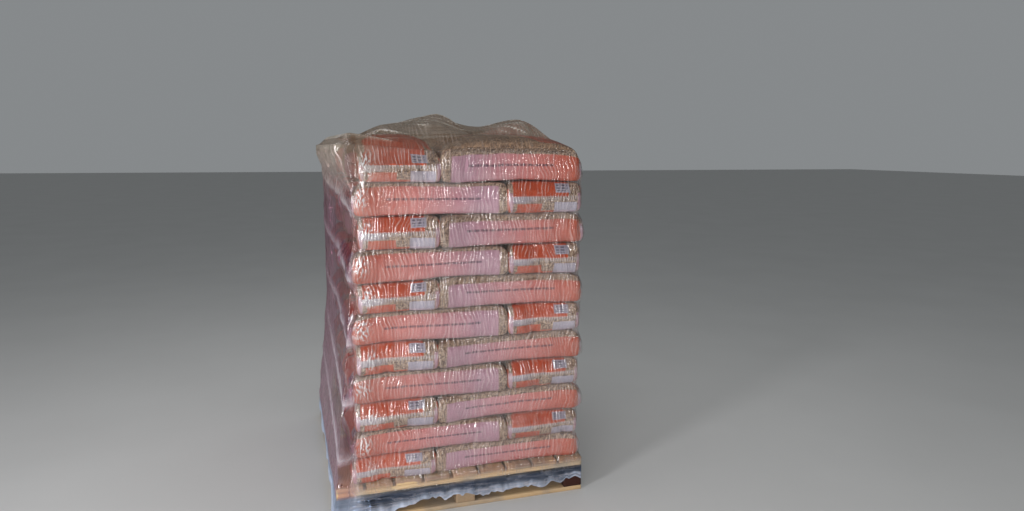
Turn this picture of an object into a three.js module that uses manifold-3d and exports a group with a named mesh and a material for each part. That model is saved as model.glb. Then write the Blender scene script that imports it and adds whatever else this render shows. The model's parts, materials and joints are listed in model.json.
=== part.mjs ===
// A wooden block pallet loaded with eleven layers of plastic sacks of wood pellets, under a clear stretch hood.
// Millimetres, +Z up. The origin is on the floor under the middle of the pallet, and -Y is the front.
import * as THREE from "three";
import Module from "manifold-3d";

// Pallet
const PALLET_W = 1000;
const PALLET_D = 1200;
const BOARD_T = 18;
const BOARD_W = 100;
const BLOCK_H = 90;
const BLOCK_W = 78;
const BLOCK_D = 140;
const DECK_BOARDS = 9;
const DECK_BOARD_W = 99;

// Sacks: five lie in each layer, two end-on in one column and three side-on in the other
const LAYERS = 11;
const SACK_L = 594;
const SACK_W_SIDE_ON = 366;
const SACK_W_END_ON = 322;
const SACK_H = 124; // at the top of the stack
const SQUASH = 24; // how much lower the bottom layer is
const PRESS = 6; // neighbouring sacks press this far into each other
const SACK_CORNER_R = 60;
const SACK_EDGE_INSET = 34; // how far the flat top lies inside the bulging side
const CROWN = 44; // how far the top layer's sacks, with nothing on them, dome up
const CROWN_STEPS = [0.82, 0.55, 0.25];
const STACK_X = 30; // the load stands off the pallet's middle
const STACK_Y = -2;
const SEAT = 0.3; // between a layer and what carries it

// Stretch hood
const FILM_T = 2;
const FILM_GAP = 0.4;
const FILM_DIP = 9; // how far the film goes in between two layers
const FILM_HEM = 2; // the hem's height over the underside of the cross boards, so the fork pockets stay open
const FILM_EDGE_R = 3;
const FILM_EDGE_GAP = 0.6; // more room round the pallet's square corners
const FILM_LIFT = 72; // how high the loose top stands off the load
const FILM_LIFT_REACH = 110;
const FILM_PUFF = 62; // how far it stands off along the left edge
const FILM_SLACK = 42; // how far it stands off the left side, towards the back
const FILM_FOLDS = [
  { x: -80, y: -240, rise: 66, reach: 200 },
  { x: 300, y: -330, rise: 60, reach: 160 },
  { x: 90, y: -330, rise: -40, reach: 110 },
];
const FILM_TOP_STEPS = [0.92, 0.82, 0.66, 0.48, 0.3, 0.14];
const FILM_CORNER_STEPS = 4;
const FILM_SIDE_STEPS = 3;

const STACK_W = SACK_L + SACK_W_END_ON - PRESS;
const STACK_D = 2 * SACK_L - PRESS;
const BLOCK_BOTTOM = BOARD_T;
const STRINGER_BOTTOM = BLOCK_BOTTOM + BLOCK_H;
const DECK_BOTTOM = STRINGER_BOTTOM + BOARD_T;
const DECK_TOP = DECK_BOTTOM + BOARD_T;

const wasm = await Module();
wasm.setup();

const WOOD = new THREE.MeshStandardMaterial({ color: 0xc9ab78, roughness: 0.85, metalness: 0 });
const OLD_WOOD = new THREE.MeshStandardMaterial({ color: 0x8c7a63, roughness: 0.9, metalness: 0 });
const SACK = new THREE.MeshStandardMaterial({ color: 0xd98c70, roughness: 0.4, metalness: 0 });
const FILM = new THREE.MeshStandardMaterial({
  color: 0xe4e8e4,
  roughness: 0.12,
  metalness: 0,
  transparent: true,
  opacity: 0.3,
});

// A box with one corner of its footprint at x, y, and its underside at z.
function box(name, material, [x, y, z], [width, depth, height]) {
  const mesh = new THREE.Mesh(new THREE.BoxGeometry(width, depth, height), material);
  mesh.name = name;
  mesh.position.set(x + width / 2, y + depth / 2, z + height / 2);
  return mesh;
}

// The points of a rounded rectangle round the origin, counter-clockwise, with `steps` chords at each corner.
function roundedRectangle(width, depth, radius, steps) {
  const corners = [
    [1, -1],
    [1, 1],
    [-1, 1],
    [-1, -1],
  ];
  return corners.flatMap(([sideX, sideY], i) => {
    const x = sideX * (width / 2 - radius);
    const y = sideY * (depth / 2 - radius);
    const start = ((i - 1) * Math.PI) / 2;
    return new THREE.EllipseCurve(x, y, radius, radius, start, start + Math.PI / 2).getPoints(steps);
  });
}

// A film outline: a rounded rectangle whose straight sides are divided too, so that the film can fold there.
function filmPlan(width, depth, radius) {
  const plan = roundedRectangle(width, depth, radius, FILM_CORNER_STEPS);
  return plan.flatMap((p, i) => {
    const next = plan[(i + 1) % plan.length];
    const parts = (i + 1) % (FILM_CORNER_STEPS + 1) ? 1 : FILM_SIDE_STEPS;
    return Array.from({ length: parts }, (_, part) => p.clone().lerp(next, part / parts));
  });
}

// A closed surface through rings of equally many points, with both ends closed by a fan.
function loft(rings) {
  const count = rings[0].length;
  const middleOf = (ring) =>
    ring.reduce((sum, p) => sum.add(p), new THREE.Vector3()).divideScalar(count);
  const points = [middleOf(rings[0]), ...rings.flat(), middleOf(rings.at(-1))];
  const at = (ring, i) => 1 + ring * count + (i % count);
  const last = rings.length - 1;
  const index = [];
  for (let i = 0; i < count; i++) {
    index.push(0, at(0, i + 1), at(0, i));
    index.push(points.length - 1, at(last, i), at(last, i + 1));
    for (let ring = 0; ring < last; ring++) {
      index.push(at(ring, i), at(ring, i + 1), at(ring + 1, i + 1));
      index.push(at(ring, i), at(ring + 1, i + 1), at(ring + 1, i));
    }
  }
  return new THREE.BufferGeometry().setFromPoints(points).setIndex(index);
}

function solidOf(geometry) {
  return new wasm.Manifold(
    new wasm.Mesh({
      numProp: 3,
      vertProperties: geometry.getAttribute("position").array,
      triVerts: new Uint32Array(geometry.index.array),
    }),
  );
}

function geometryOf(solid) {
  const { vertProperties, triVerts } = solid.getMesh();
  return new THREE.BufferGeometry()
    .setAttribute("position", new THREE.BufferAttribute(vertProperties, 3))
    .setIndex(new THREE.BufferAttribute(triVerts, 1));
}

// The pallet: nine deck boards on three cross boards, nine blocks, and a base frame with a middle runner.
function pallet() {
  const group = new THREE.Group();
  const left = -PALLET_W / 2;
  const front = -PALLET_D / 2;
  const rows = ["front", "middle", "back"];
  const columns = ["left", "middle", "right"];
  const spread = (i, outer, width) => -outer / 2 + (i * (outer - width)) / 2;

  for (let i = 0; i < DECK_BOARDS; i++) {
    const x = left + (i * (PALLET_W - DECK_BOARD_W)) / (DECK_BOARDS - 1);
    const size = [DECK_BOARD_W, PALLET_D, BOARD_T];
    group.add(box(`deck_board_${i + 1}`, WOOD, [x, front, DECK_BOTTOM], size));
  }
  rows.forEach((row, i) => {
    const y = spread(i, PALLET_D, BOARD_W);
    const size = [PALLET_W, BOARD_W, BOARD_T];
    group.add(box(`stringer_${row}`, WOOD, [left, y, STRINGER_BOTTOM], size));
    if (row !== "middle") group.add(box(`base_board_${row}`, WOOD, [left, y, 0], size));
    columns.forEach((column, j) => {
      const place = [spread(j, PALLET_W, BLOCK_W), spread(i, PALLET_D, BLOCK_D), BLOCK_BOTTOM];
      group.add(box(`block_${row}_${column}`, OLD_WOOD, place, [BLOCK_W, BLOCK_D, BLOCK_H]));
    });
  });
  columns.forEach((column, j) => {
    const place = [spread(j, PALLET_W, BOARD_W), front + BOARD_W, 0];
    const size = [BOARD_W, PALLET_D - 2 * BOARD_W, BOARD_T];
    group.add(box(`base_runner_${column}`, WOOD, place, size));
  });
  return group;
}

// One filled sack lying flat, round its own middle: soft bulging sides between a flat underside and a top that is
// flat too, or that rises by `crown`.
function sack(length, width, height, crown) {
  const levels = [-90, -45, 0, 45, 90].map(THREE.MathUtils.degToRad);
  const sides = levels.map((angle) => {
    const inset = SACK_EDGE_INSET * (1 - Math.cos(angle));
    const z = (height / 2) * Math.sin(angle);
    const plan = roundedRectangle(length - 2 * inset, width - 2 * inset, SACK_CORNER_R - inset, 2);
    return plan.map((p) => new THREE.Vector3(p.x, p.y, z));
  });
  const dome = crown ? CROWN_STEPS : [];
  const tops = dome.map((step) =>
    sides.at(-1).map((p) => new THREE.Vector3(p.x * step, p.y * step, p.z + crown * (1 - step ** 2.5))),
  );
  return loft([...sides, ...tops]);
}

// The height of each layer, from the bottom up: the load above squashes the low ones.
const layerHeights = Array.from({ length: LAYERS }, (_, i) => {
  const above = (LAYERS - 1 - i) / (LAYERS - 1);
  return SACK_H - SQUASH * above * above;
});
const layerBottoms = layerHeights.map(
  (_, i) => DECK_TOP + SEAT + layerHeights.slice(0, i).reduce((sum, h) => sum + h, 0),
);
const STACK_TOP = layerBottoms.at(-1) + layerHeights.at(-1);

// A layer of five sacks as one solid, with the gaps between them cut in. pairSide is -1 where the two end-on
// sacks lie at the left and 1 where they lie at the right.
function sackLayer(height, pairSide, crown) {
  const pairX = (pairSide * (STACK_W - SACK_W_END_ON)) / 2;
  const tripleX = (-pairSide * (STACK_W - SACK_L)) / 2;
  const pairY = (STACK_D - SACK_L) / 2;
  const tripleY = (STACK_D - SACK_W_SIDE_ON) / 2;
  const pieces = [
    ...[-pairY, pairY].map((y) => sack(SACK_W_END_ON, SACK_L, height, crown).translate(pairX, y, 0)),
    ...[-tripleY, 0, tripleY].map((y) =>
      sack(SACK_L, SACK_W_SIDE_ON, height, crown).translate(tripleX, y, 0),
    ),
  ];
  const whole = pieces.map(solidOf).reduce((sum, piece) => sum.add(piece));
  return geometryOf(whole);
}

function sackStack() {
  const group = new THREE.Group();
  group.position.set(STACK_X, STACK_Y, 0);
  layerHeights.forEach((height, i) => {
    const pairSide = i % 2 === 0 ? -1 : 1;
    const crown = i === LAYERS - 1 ? CROWN : 0;
    const mesh = new THREE.Mesh(sackLayer(height - SEAT, pairSide, crown), SACK);
    mesh.name = `sack_layer_${String(i + 1).padStart(2, "0")}`;
    mesh.position.z = layerBottoms[i] + (height - SEAT) / 2;
    group.add(mesh);
  });
  return group;
}

// How far the loose film at a point of the plan, measured from the load's middle, belongs to its puffed left edge.
function leftShare(x) {
  return THREE.MathUtils.smoothstep(-x, 0, STACK_W / 2);
}

// How far the film stands off the load's left side at a point of the plan, measured from the load's middle.
function leftSlack(x, y) {
  return FILM_SLACK * leftShare(x) * THREE.MathUtils.smoothstep(y, -STACK_D / 2, STACK_D / 3);
}

// How high the loose top of the film stands at a point of the plan, measured from the load's middle.
function filmTop(x, y) {
  const inside = Math.min(STACK_W / 2 - Math.abs(x), STACK_D / 2 - Math.abs(y));
  const share = THREE.MathUtils.smoothstep(inside, 0, FILM_LIFT_REACH);
  const folds = FILM_FOLDS.map(({ x: foldX, y: foldY, rise, reach }) => {
    const away = Math.hypot(x + STACK_X - foldX, y + STACK_Y - foldY) / reach;
    return rise * share * Math.exp(-away * away);
  });
  const lift = Math.max(FILM_LIFT * share, FILM_PUFF * leftShare(x));
  return folds.reduce((sum, fold) => sum + fold, STACK_TOP + FILM_GAP + lift);
}

// One side of the film, from the hem up, pushed out by `out` along its surface.
function filmRings(out) {
  const roundPallet = (z) => {
    const grow = FILM_GAP + FILM_EDGE_GAP + out;
    const plan = filmPlan(PALLET_W + 2 * grow, PALLET_D + 2 * grow, FILM_EDGE_R + out);
    return plan.map((p) => new THREE.Vector3(p.x, p.y, z));
  };
  const roundStack = (inset, z, puff = 0) => {
    const grow = FILM_GAP + out - inset;
    const plan = filmPlan(STACK_W + 2 * grow, STACK_D + 2 * grow, SACK_CORNER_R + grow);
    return plan.map((p) => {
      const left = puff * leftShare(p.x);
      const slack = puff ? 0 : leftSlack(p.x, p.y);
      return new THREE.Vector3(p.x - left - slack + STACK_X, p.y + STACK_Y, z + left);
    });
  };
  const walls = layerHeights.flatMap((height, i) => {
    const dip = i > 0 ? [roundStack(FILM_DIP, layerBottoms[i])] : [];
    return [...dip, roundStack(0, layerBottoms[i] + height / 2)];
  });
  const shoulder = roundStack(0.2 * SACK_EDGE_INSET, STACK_TOP - 0.12 * SACK_H + 0.7 * out, 0.7 * FILM_PUFF);
  const rim = filmPlan(STACK_W, STACK_D, SACK_CORNER_R);
  const top = FILM_TOP_STEPS.map((step) =>
    rim.map((p) => {
      const x = p.x * step;
      const y = p.y * step;
      const puffed = step === FILM_TOP_STEPS[0] ? 0.8 * FILM_PUFF * leftShare(p.x) : 0;
      return new THREE.Vector3(x - puffed + STACK_X, y + STACK_Y, filmTop(x, y) + out);
    }),
  );
  return [
    roundPallet(STRINGER_BOTTOM + FILM_HEM),
    roundPallet(DECK_TOP + 2),
    ...walls,
    shoulder,
    ...top,
  ];
}

function stretchHood() {
  const inner = filmRings(0).reverse();
  const outer = filmRings(FILM_T);
  const mesh = new THREE.Mesh(loft([...inner, ...outer]), FILM);
  mesh.name = "stretch_hood";
  return mesh;
}

const palletOfSacks = new THREE.Group();
palletOfSacks.add(pallet(), sackStack(), stretchHood());

export default palletOfSacks;
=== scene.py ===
import json
import math

import bpy
import numpy as np
from mathutils import Matrix, Vector
from mathutils.bvhtree import BVHTree

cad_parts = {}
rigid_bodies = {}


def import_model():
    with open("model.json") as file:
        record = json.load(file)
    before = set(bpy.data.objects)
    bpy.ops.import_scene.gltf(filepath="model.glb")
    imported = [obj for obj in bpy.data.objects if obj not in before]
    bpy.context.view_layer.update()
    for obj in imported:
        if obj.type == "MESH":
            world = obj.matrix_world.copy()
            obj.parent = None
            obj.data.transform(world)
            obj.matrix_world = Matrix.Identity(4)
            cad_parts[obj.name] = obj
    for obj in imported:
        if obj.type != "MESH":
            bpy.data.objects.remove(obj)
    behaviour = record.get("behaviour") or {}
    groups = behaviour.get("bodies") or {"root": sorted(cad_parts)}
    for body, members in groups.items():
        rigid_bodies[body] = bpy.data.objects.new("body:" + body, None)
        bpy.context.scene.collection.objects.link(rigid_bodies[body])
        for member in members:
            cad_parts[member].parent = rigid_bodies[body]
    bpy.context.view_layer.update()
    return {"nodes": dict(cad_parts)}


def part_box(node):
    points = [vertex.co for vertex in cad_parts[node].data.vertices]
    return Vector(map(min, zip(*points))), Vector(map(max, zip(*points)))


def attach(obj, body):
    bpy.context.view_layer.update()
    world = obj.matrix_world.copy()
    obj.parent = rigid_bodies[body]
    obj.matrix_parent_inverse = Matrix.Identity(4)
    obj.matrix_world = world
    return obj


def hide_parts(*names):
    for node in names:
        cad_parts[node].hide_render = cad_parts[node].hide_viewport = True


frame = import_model()


# Boards of the pallet: sawn pine, 18 mm thick. Nine deck boards lie on three cross boards, and the base is
# two boards with three runners between them. Their edges are worn and chipped, and their faces keep the saw's
# marks. Lengths are in metres, and the phases of the rings and of the saw's marks in radians a metre.
BOARD_CELL = 0.014
EDGE_WEAR = 0.0022
EDGE_ROUNDING = 0.4
CHIP_START = 0.25
CHIP_DEPTH = 0.0035
CHIP_LENGTH = 0.03
BOARD_BOW = 0.0012
BOARD_WAVES = 2.5
BOARD_SEED = 100
HEART_RANGE = ((-2, 0.03, -0.09), (2, 0.09, 0.09))
RING_PHASE = 1300
RING_SWAY = 0.03
SAW_PHASE = 1500
PINE_LIGHT = (0.72, 0.53, 0.3, 1)
PINE_DARK = (0.45, 0.28, 0.14, 1)
PINE_GREY = (0.3, 0.27, 0.23, 1)
PINE_WEATHER = 0.65
KNOT_BROWN = (0.1, 0.045, 0.02, 1)
# The stain brown darkens stained blocks, and the base boards partly as dirt and partly as painted shade.
STAIN_AND_SHADE_BROWN = (0.1, 0.026, 0.015, 1)
BASE_STAIN_AND_SHADE = 0.25
HASH_PRIMES = (73856093, 19349663, 83492791)
SEED_PRIME = 26544357
MIXING_PRIME = 1274126177


def nodes_named(*starts):
    """The names of the CAD nodes that start with one of these, in order."""
    return [name for name in sorted(frame["nodes"]) if name.startswith(starts)]


def value_noise(points, seed):
    """Smooth noise from -1 to 1, in cells of size 1, at each of an array of points."""
    cell = np.floor(points).astype(np.int64)
    part = points - cell
    part = part * part * (3 - 2 * part)
    total = np.zeros(points.shape[:-1])
    for corner in np.ndindex(2, 2, 2):
        x, y, z = np.moveaxis((cell + corner) * HASH_PRIMES, -1, 0)
        mixed = x ^ y ^ z ^ seed * SEED_PRIME
        mixed = (mixed ^ mixed >> 13) * MIXING_PRIME
        weight = np.prod(np.where(corner, part, 1 - part), axis=-1)
        total += weight * ((mixed >> 8 & 0xFFFF) / 0x7FFF - 1)
    return total


def grid_quads(index):
    """The quads between the points of a grid, from the grid of their numbers."""
    return np.stack([index[:-1, :-1], index[1:, :-1], index[1:, 1:], index[:-1, 1:]], -1).reshape(-1, 4)


def box_surface(steps):
    """The outside of a box that is divided at these places along each axis, as points and outward quads."""
    points, quads = [], []
    for axis in range(3):
        a, b = (i for i in range(3) if i != axis)
        for side in (0, -1):
            grid = np.stack(np.meshgrid(steps[a], steps[b], indexing="ij"))
            block = np.zeros((*grid.shape[1:], 3))
            block[..., a], block[..., b], block[..., axis] = *grid, steps[axis][side]
            quad = grid_quads(sum(len(p) for p in points) + np.arange(grid[0].size).reshape(grid[0].shape))
            outward = (side == -1) == (axis != 1)
            points.append(block.reshape(-1, 3))
            quads.append(quad if outward else quad[:, ::-1])
    merged, where = np.unique(np.round(np.concatenate(points), 7), axis=0, return_inverse=True)
    return merged, where.reshape(-1)[np.concatenate(quads)]


def mesh_object(name, points, faces, material=None, attributes=()):
    """A smooth mesh object with float or vector attributes on its points."""
    mesh = bpy.data.meshes.new(name)
    mesh.from_pydata(points.tolist(), [], faces.tolist())
    for key, values in dict(attributes).items():
        vector = values.ndim == 2
        attribute = mesh.attributes.new(key, "FLOAT_VECTOR" if vector else "FLOAT", "POINT")
        attribute.data.foreach_set("vector" if vector else "value", values.astype(np.float32).ravel())
    mesh.shade_smooth()
    if material:
        mesh.materials.append(material)
    made = bpy.data.objects.new(name, mesh)
    bpy.context.scene.collection.objects.link(made)
    return made


class Value:
    """An output of a node. Sums, differences and products with it add nodes to its tree."""

    def __init__(self, tree, socket):
        self.tree = tree
        self.socket = socket

    def __add__(self, other):
        return maths("ADD", self, other)

    def __sub__(self, other):
        return maths("SUBTRACT", self, other)

    def __rsub__(self, other):
        return maths("SUBTRACT", other, self)

    def __mul__(self, other):
        return maths("MULTIPLY", self, other)


def node(tree, kind, inputs=(), **fields):
    """Adds a node, sets its fields, links or sets its inputs, and gives its outputs by number and name."""
    made = tree.nodes.new(kind)
    for key, value in fields.items():
        setattr(made, key, value)
    for key, value in dict(inputs).items():
        if isinstance(value, Value):
            tree.links.new(value.socket, made.inputs[key])
        else:
            made.inputs[key].default_value = value
    return {key: Value(tree, out) for number, out in enumerate(made.outputs) for key in (number, out.name)}


def tree_of(*values):
    return next(value.tree for value in values if isinstance(value, Value))


def maths(operation, *values):
    """Adds a Math node, or a Vector Math node where one of the values is a vector or a colour."""
    vector = any(isinstance(v, tuple) or isinstance(v, Value) and v.socket.type != "VALUE" for v in values)
    kind = "ShaderNodeVectorMath" if vector else "ShaderNodeMath"
    made = node(tree_of(*values), kind, enumerate(values), operation=operation)
    return made["Vector" if vector and operation not in ("LENGTH", "DOT_PRODUCT") else "Value"]


def parts(vector):
    made = node(vector.tree, "ShaderNodeSeparateXYZ", {0: vector})
    return made["X"], made["Y"], made["Z"]


def rise(value, start, end):
    """0 up to start, 1 from end, and smooth between them. It falls instead where start is over end."""
    if start > end:
        return 1 - rise(value, end, start)
    inputs = {"Value": value, "From Min": start, "From Max": end}
    return node(value.tree, "ShaderNodeMapRange", inputs, interpolation_type="SMOOTHSTEP")["Result"]


def blend(share, a, b):
    return node(share.tree, "ShaderNodeMix", {0: share, 2: a, 3: b})[0]


def blend_colour(share, a, b, mode="MIX"):
    inputs = {0: share, 6: a, 7: b}
    return node(tree_of(share, a, b), "ShaderNodeMix", inputs, data_type="RGBA", blend_type=mode)[2]


def noise(place, scale, detail=2.0, stretch=(1, 1, 1), output="Fac"):
    inputs = {"Vector": place * stretch, "Scale": scale, "Detail": detail}
    return node(place.tree, "ShaderNodeTexNoise", inputs)[output]


def point_value(tree, name, output="Fac"):
    return node(tree, "ShaderNodeAttribute", attribute_name=name)[output]


def relief(height, distance, strength):
    """The normal of a surface with this relief."""
    inputs = {"Height": height, "Distance": distance, "Strength": strength}
    return node(height.tree, "ShaderNodeBump", inputs)["Normal"]


def new_group(name, kind, inputs, outputs):
    """An empty node group with sockets of these names and kinds, and the values that it is given."""
    tree = bpy.data.node_groups.new(name, kind)
    for way, sockets in (("INPUT", inputs), ("OUTPUT", outputs)):
        for key, sort in sockets.items():
            tree.interface.new_socket(key, in_out=way, socket_type=f"NodeSocket{sort}")
    return tree, node(tree, "NodeGroupInput")


def new_material(name):
    """An empty node material and its tree."""
    material = bpy.data.materials.new(name)
    material.use_nodes = True
    material.node_tree.nodes.clear()
    return material, material.node_tree


def principled_surface(tree, inputs):
    shader = node(tree, "ShaderNodeBsdfPrincipled", inputs)["BSDF"]
    node(tree, "ShaderNodeOutputMaterial", {"Surface": shader})


def sawn_wood_group():
    """Sawn timber in its own log: Place runs along, across and up from near the log's heart, in metres."""
    inputs = {"Place": "Vector", "Light": "Color", "Dark": "Color", "Grey": "Color", "Weather": "Float"}
    tree, given = new_group("sawn_wood", "ShaderNodeTree", inputs, {"Color": "Color", "Height": "Float"})
    place = given["Place"]
    from_heart = maths("LENGTH", place * (0, 1, 1))
    sway = noise(place, 9, 3, (0.35, 1, 1)) * RING_SWAY
    late_wood = rise(maths("SINE", (from_heart + sway) * RING_PHASE), 0.1, 0.95)
    fibre = noise(place, 60, 4, (0.12, 6, 6))
    knots = node(tree, "ShaderNodeTexVoronoi", {"Vector": place * (4, 11, 4), "Scale": 1.0})
    knot = rise(knots["Distance"], 0.16, 0.09)
    colour = blend_colour(late_wood * 0.5 + fibre * 0.45, given["Light"], given["Dark"])
    colour = blend_colour(knot * 0.8, colour, KNOT_BROWN)
    dirt = rise(noise(place, 7, 5), 0.42, 0.68) * given["Weather"]
    colour = blend_colour(dirt, colour, given["Grey"])
    saw = maths("SINE", parts(place)[0] * SAW_PHASE)
    height = fibre * 1.2 + saw * 0.16 - late_wood * 0.25
    node(tree, "NodeGroupOutput", {"Color": colour, "Height": height})
    return tree


sawn_wood = sawn_wood_group()


def wood_material(name, light, dark, grey, weather):
    material, tree = new_material(name)
    place = point_value(tree, "log_place", "Vector")
    inputs = {"Place": place, "Light": light, "Dark": dark, "Grey": grey, "Weather": weather}
    wood = node(tree, "ShaderNodeGroup", inputs, node_tree=sawn_wood)
    # Stains darken the wood; on the base boards the darkening is partly painted shade.
    colour = blend_colour(point_value(tree, "stain_and_shade"), wood["Color"], STAIN_AND_SHADE_BROWN, "MULTIPLY")
    roughness = noise(place, 90) * 0.25 + 0.62
    normal = relief(wood["Height"], 0.0012, 0.8)
    principled_surface(tree, {"Base Color": colour, "Roughness": roughness, "Normal": normal})
    return material


def sawn_piece(name, along, cell, material, stain_and_shade, seed):
    """Replaces a CAD board or block with a sawn one. along is the axis that its grain runs in."""
    low, high = (np.array(corner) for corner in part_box(name))
    half = (high - low) / 2
    steps = []
    for size in half:
        rim = EDGE_WEAR / size
        inner = np.linspace(-1 + rim, 1 - rim, max(3, round(2 * size / cell) + 1))
        steps.append(np.concatenate([[-1], inner, [1]]))
    unit, quads = box_surface(steps)
    points = unit * half
    at_side = np.isclose(np.abs(unit), 1)
    at_edge = at_side & (at_side.sum(1) > 1)[:, None]
    chip = np.clip(value_noise(points / CHIP_LENGTH, seed) - CHIP_START, 0, 1) * CHIP_DEPTH / (1 - CHIP_START)
    points -= np.where(at_edge, np.sign(unit), 0) * (EDGE_ROUNDING * EDGE_WEAR + chip)[:, None]
    if name.startswith("deck"):
        points[:, 2] += BOARD_BOW * value_noise(points * BOARD_WAVES, seed + 1)
    log = np.roll(points, -along, axis=1)
    heart = np.random.default_rng(seed).uniform(*HEART_RANGE)
    attributes = {"log_place": log + heart, "stain_and_shade": np.full(len(points), stain_and_shade)}
    piece = mesh_object(f"{name}_wood", points + (low + high) / 2, quads, material, attributes)
    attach(piece, "root")
    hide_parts(name)
    return piece


pine = wood_material("sawn_pine", PINE_LIGHT, PINE_DARK, PINE_GREY, PINE_WEATHER)
board_names = nodes_named("deck", "stringer", "base")
for number, name in enumerate(board_names):
    lengthways = name.startswith(("deck", "base_runner"))
    # The base boards are darkened, partly as dirt and partly as painted shade.
    stain_and_shade = BASE_STAIN_AND_SHADE if name.startswith("base") else 0.0
    board = sawn_piece(name, 1 if lengthways else 0, BOARD_CELL, pine, stain_and_shade, BOARD_SEED + number)


# Blocks of the pallet: nine offcuts of darker, weathered timber, 90 mm high, nailed between the cross boards
# and the base. The right front one is stained dark red-brown, and two in three of all are stained a little.
BLOCK_CELL = 0.009
BLOCK_SEED = 200
BLOCK_STAIN = 0.12
BLOCK_LIGHT = (0.4, 0.29, 0.18, 1)
BLOCK_DARK = (0.2, 0.125, 0.07, 1)
BLOCK_GREY = (0.2, 0.17, 0.14, 1)
BLOCK_WEATHER = 0.9

old_wood = wood_material("weathered_block", BLOCK_LIGHT, BLOCK_DARK, BLOCK_GREY, BLOCK_WEATHER)
for number, name in enumerate(nodes_named("block")):
    stain_and_shade = 1.0 if name == "block_front_right" else BLOCK_STAIN * (number % 3)
    block = sawn_piece(name, 1, BLOCK_CELL, old_wood, stain_and_shade, BLOCK_SEED + number)


# Nails of the pallet: ring nails with flat heads, two where each deck board crosses a cross board, driven
# flush and a little askew. Their steel is rusty in spots.
NAIL_HEAD_RADIUS = 0.0042
NAIL_HEAD_DEPTH = 0.0016
NAIL_PROUD = 0.0003
NAIL_SPREAD = 0.028
NAIL_STAGGER = 0.0168
NAIL_TILT = 0.12
NAIL_SIDES = 12
NAIL_SEED = 5
STEEL_GREY = (0.33, 0.32, 0.31, 1)
RUST_BROWN = (0.13, 0.06, 0.03, 1)


def nail_tree(material):
    """Geometry Nodes that set a flat head, tilted a little, on each point."""
    inputs = {"Geometry": "Geometry", "Head radius": "Float", "Head depth": "Float"}
    tree, given = new_group("nail_heads", "GeometryNodeTree", inputs, {"Geometry": "Geometry"})
    inputs = {"Vertices": NAIL_SIDES, "Radius": given["Head radius"], "Depth": given["Head depth"]}
    head = node(tree, "GeometryNodeMeshCylinder", inputs)["Mesh"]
    inputs = {0: (-NAIL_TILT, -NAIL_TILT, 0), 1: (NAIL_TILT, NAIL_TILT, 3), "Seed": NAIL_SEED}
    tilt = node(tree, "FunctionNodeRandomValue", inputs, data_type="FLOAT_VECTOR")[0]
    inputs = {"Points": given["Geometry"], "Instance": head, "Rotation": tilt}
    heads = node(tree, "GeometryNodeInstanceOnPoints", inputs)[0]
    heads = node(tree, "GeometryNodeRealizeInstances", {0: heads})[0]
    heads = node(tree, "GeometryNodeSetMaterial", {"Geometry": heads, "Material": material})[0]
    node(tree, "NodeGroupOutput", {"Geometry": heads})
    return tree


def steel_material():
    material, tree = new_material("nail_steel")
    place = node(tree, "ShaderNodeTexCoord")["Object"]
    rust = rise(noise(place, 240, 4), 0.4, 0.62)
    colour = blend_colour(rust, STEEL_GREY, RUST_BROWN)
    principled_surface(tree, {"Base Color": colour, "Roughness": rust * 0.35 + 0.45, "Metallic": 1 - rust})
    return material


def nail_points():
    """Two places across each board's width at each cross board, on top of the deck."""
    places = []
    for board in nodes_named("deck"):
        low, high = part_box(board)
        for cross in nodes_named("stringer"):
            front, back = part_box(cross)
            for side in (-1, 1):
                x = (low.x + high.x) / 2 + side * NAIL_SPREAD
                y = (front.y + back.y) / 2 + side * NAIL_STAGGER
                places.append((x, y, high.z + NAIL_PROUD - NAIL_HEAD_DEPTH / 2))
    return np.array(places)


def evaluated_copy(source, name):
    """A plain mesh object of what source's modifiers make. source is removed."""
    graph = bpy.context.evaluated_depsgraph_get()
    mesh = bpy.data.meshes.new_from_object(source.evaluated_get(graph), depsgraph=graph)
    bpy.data.objects.remove(source)
    made = bpy.data.objects.new(name, mesh)
    bpy.context.scene.collection.objects.link(made)
    return made


nail_seats = mesh_object("nail_seats", nail_points(), np.zeros((0, 3), int))
nail_heads = nail_seats.modifiers.new("nail_heads", "NODES")
nail_heads.node_group = nail_tree(steel_material())
head_sizes = {"Head radius": NAIL_HEAD_RADIUS, "Head depth": NAIL_HEAD_DEPTH}
for item in nail_heads.node_group.interface.items_tree:
    if item.name in head_sizes:
        nail_heads[item.identifier] = head_sizes[item.name]
nails = evaluated_copy(nail_seats, "pallet_nails")
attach(nails, "root")


# Sacks: 15 kg of wood pellets each, in printed film that is welded across both ends. Five lie in a layer,
# two end-on in one column and three side-on in the other, and the columns change places from one layer to the
# next. A few are swollen by a cloth simulation, and the layers repeat them.
SACK_LENGTH = 0.594
SACK_WIDTH_END_ON = 0.322
SACK_WIDTH_SIDE_ON = 0.366
SACK_CLEARANCE = 0.0015
SACK_END_EDGE = 0.036
SACK_SIDE_EDGE = 0.022
SACK_EDGE_POWER = 2.7
SACK_CORNER = 0.018
STACK_CORNER = 0.055
SACK_CELL = 0.014
SACK_SIDE_ARC = 0.03
SACK_SLACK = 0.004
SACK_CAP = 0.012
SACK_CLOTH = {
    "quality": 5,
    "mass": 0.2,
    "tension_stiffness": 12,
    "compression_stiffness": 12,
    "shear_stiffness": 4,
    "bending_stiffness": 0.15,
    "shrink_min": -0.06,
    "use_pressure": True,
    "uniform_pressure_force": 4,
}
DENT_DEPTH = 0.0012
DENT_WAVES = 28
PRESS_SOFTNESS = np.array([0.008, 0.008, 0.009])
SACK_LEAD_HEIGHT = 0.124
SACK_LOOKS = 3
SACK_SEED = 40
SACK_TRIANGLES = 8600
SIM_FRAMES = 20
END_ON_SETBACK = 0.012
END_ON_STRETCH = 0.99
SIDE_ON_PROUD = 0.004
SIDE_ON_STRETCH = 1.024
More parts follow.
